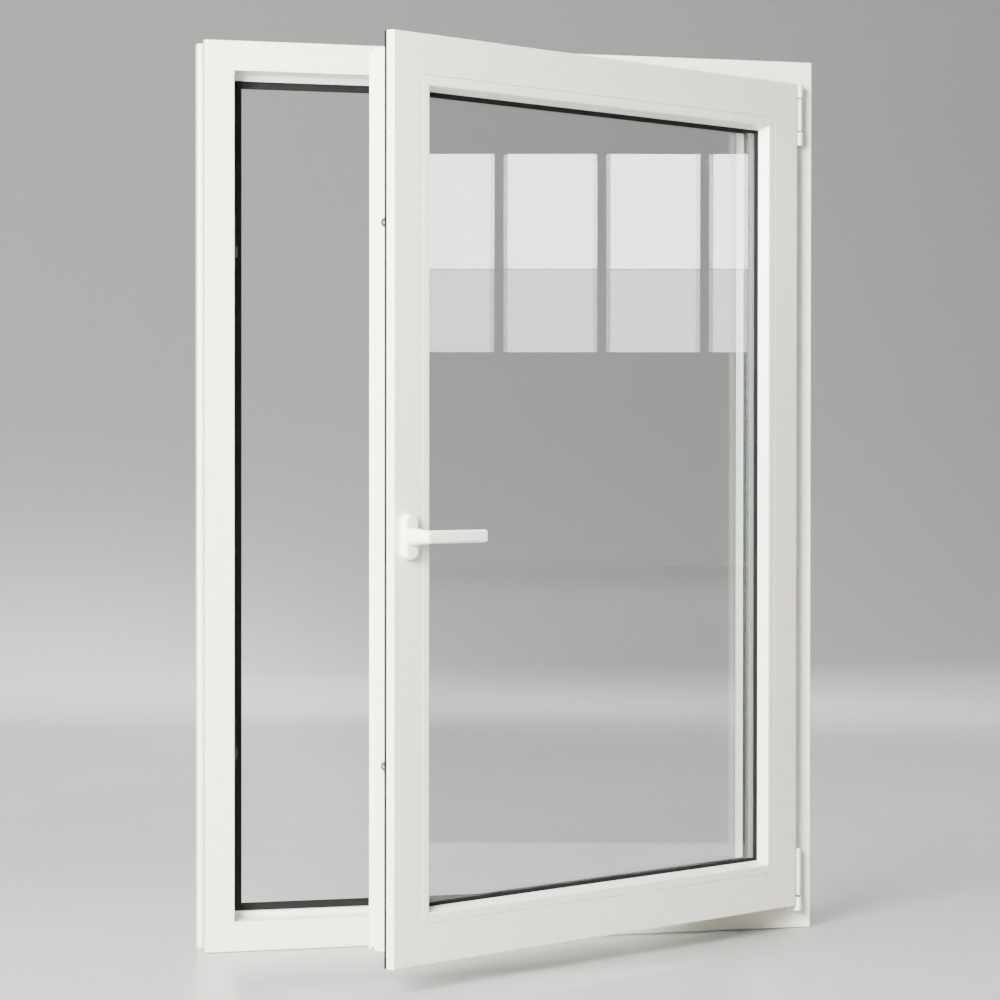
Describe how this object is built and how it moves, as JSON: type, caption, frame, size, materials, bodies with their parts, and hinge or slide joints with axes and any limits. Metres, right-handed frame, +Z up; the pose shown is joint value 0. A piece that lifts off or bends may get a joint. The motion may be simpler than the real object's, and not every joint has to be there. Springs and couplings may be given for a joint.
{
  "type": "tilt and turn window",
  "caption": "White hollow-plastic window, its frame with one inward-opening double-glazed sash ajar on the hinges, lever handle level.",
  "frame": {"origin": "middle of the frame's underside, half way through its depth", "axes": "+X from the lock side to the hinge side along the frame, +Y from the room to outdoors, +Z up. Rest pose: the sash stands 30 degrees open into the room (-Y), not tilted, handle level."},
  "size_m": [1, 0.5927, 1.4],
  "materials": {
    "profile_white": "satin",
    "reinforcement": "galvanised",
    "seal_black": "matte",
    "glass_clear": "polished",
    "spacer_metal": "satin",
    "edge_sealant": "matte",
    "base_plastic": "matte",
    "striker_black": "matte black",
    "block_plastic": "matte",
    "hardware_silver": "zinc plated",
    "screw_steel": "zinc plated",
    "cap_white": "satin",
    "handle_white": "powder coated"
  },
  "bodies": {
    "frame": {"frame_head": "profile_white", "frame_sill": "profile_white", "frame_lock_jamb": "profile_white", "frame_hinge_jamb": "profile_white", "frame_steels": "reinforcement", "frame_gasket": "seal_black", "drain_covers": "cap_white", "strikers": "striker_black", "striker_screws": "striker_black", "stay_bearing": "hardware_silver", "stay_pin": "screw_steel", "stay_bearing_caps": "cap_white", "bearing_screws": "screw_steel", "corner_bearing": "hardware_silver", "foot_screws": "screw_steel", "corner_bearing_cap": "cap_white"},
    "pivot": {"pivot_bush": "hardware_silver", "tilt_pin": "screw_steel"},
    "sash": {"sash_top_rail": "profile_white", "sash_bottom_rail": "profile_white", "sash_lock_stile": "profile_white", "sash_hinge_stile": "profile_white", "sash_steels": "reinforcement", "sash_gasket": "seal_black", "bead_top": "profile_white", "bead_bottom": "profile_white", "bead_lock": "profile_white", "bead_hinge": "profile_white", "bead_gasket": "seal_black", "outer_glass_gasket": "seal_black", "spacer_bar": "spacer_metal", "edge_seal": "edge_sealant", "inner_pane": "glass_clear", "outer_pane": "glass_clear", "glazing_blocks": "block_plastic", "corner_hinge": "hardware_silver", "corner_hinge_screws": "screw_steel", "corner_hinge_sleeve": "cap_white", "lock_faceplate": "hardware_silver", "stay_guide": "hardware_silver", "faceplate_screws": "screw_steel", "corner_drives": "hardware_silver", "gearbox": "hardware_silver", "rosette": "handle_white", "handle_base": "base_plastic", "handle_screws": "screw_steel"},
    "handle": {"handle_lever": "handle_white", "spindle": "screw_steel", "gear_crank": "hardware_silver"},
    "drive": {"drive_rod": "hardware_silver", "locking_cams": "hardware_silver"},
    "top_drive": {"top_rod": "hardware_silver", "top_cam": "hardware_silver"},
    "stay": {"stay_arm": "hardware_silver", "stay_stud": "screw_steel", "stay_sleeve": "cap_white"}
  },
  "joints": [
    {"name": "sash_turn", "type": "hinge", "parent": "frame", "child": "pivot", "pos_m": [0.4703, -0.0501, 0.042], "axis": [0, 0, 1], "range_deg": [-30, 60]},
    {"name": "sash_tilt", "type": "hinge", "parent": "pivot", "child": "sash", "pos_m": [0.4703, -0.0501, 0.042], "axis": [0.866, 0.5, 0], "range_deg": [0, 7]},
    {"name": "stay_swing", "type": "hinge", "parent": "pivot", "child": "stay", "pos_m": [0.4703, -0.0501, 1.3], "axis": [0, 0, 1], "range_deg": [0, 23.2]},
    {"name": "handle_turn", "type": "hinge", "parent": "sash", "child": "handle", "pos_m": [-0.31083, -0.50674, 0.6485], "axis": [0.5, -0.866, 0], "range_deg": [-90, 90]},
    {"name": "rod_slide", "type": "slide", "parent": "sash", "child": "drive", "axis": [0, 0, 1], "range_m": [-0.0161, 0.0161]},
    {"name": "top_rod_slide", "type": "slide", "parent": "sash", "child": "top_drive", "axis": [0.866, 0.5, 0], "range_m": [-0.0161, 0.0161]}
  ],
  "couplings": [
    {"joint": "stay_swing", "follows": "sash_tilt", "ratio": 3.29},
    {"joint": "rod_slide", "follows": "handle_turn", "m_per_rad": 0.010186},
    {"joint": "top_rod_slide", "follows": "handle_turn", "m_per_rad": 0.010186}
  ]
}
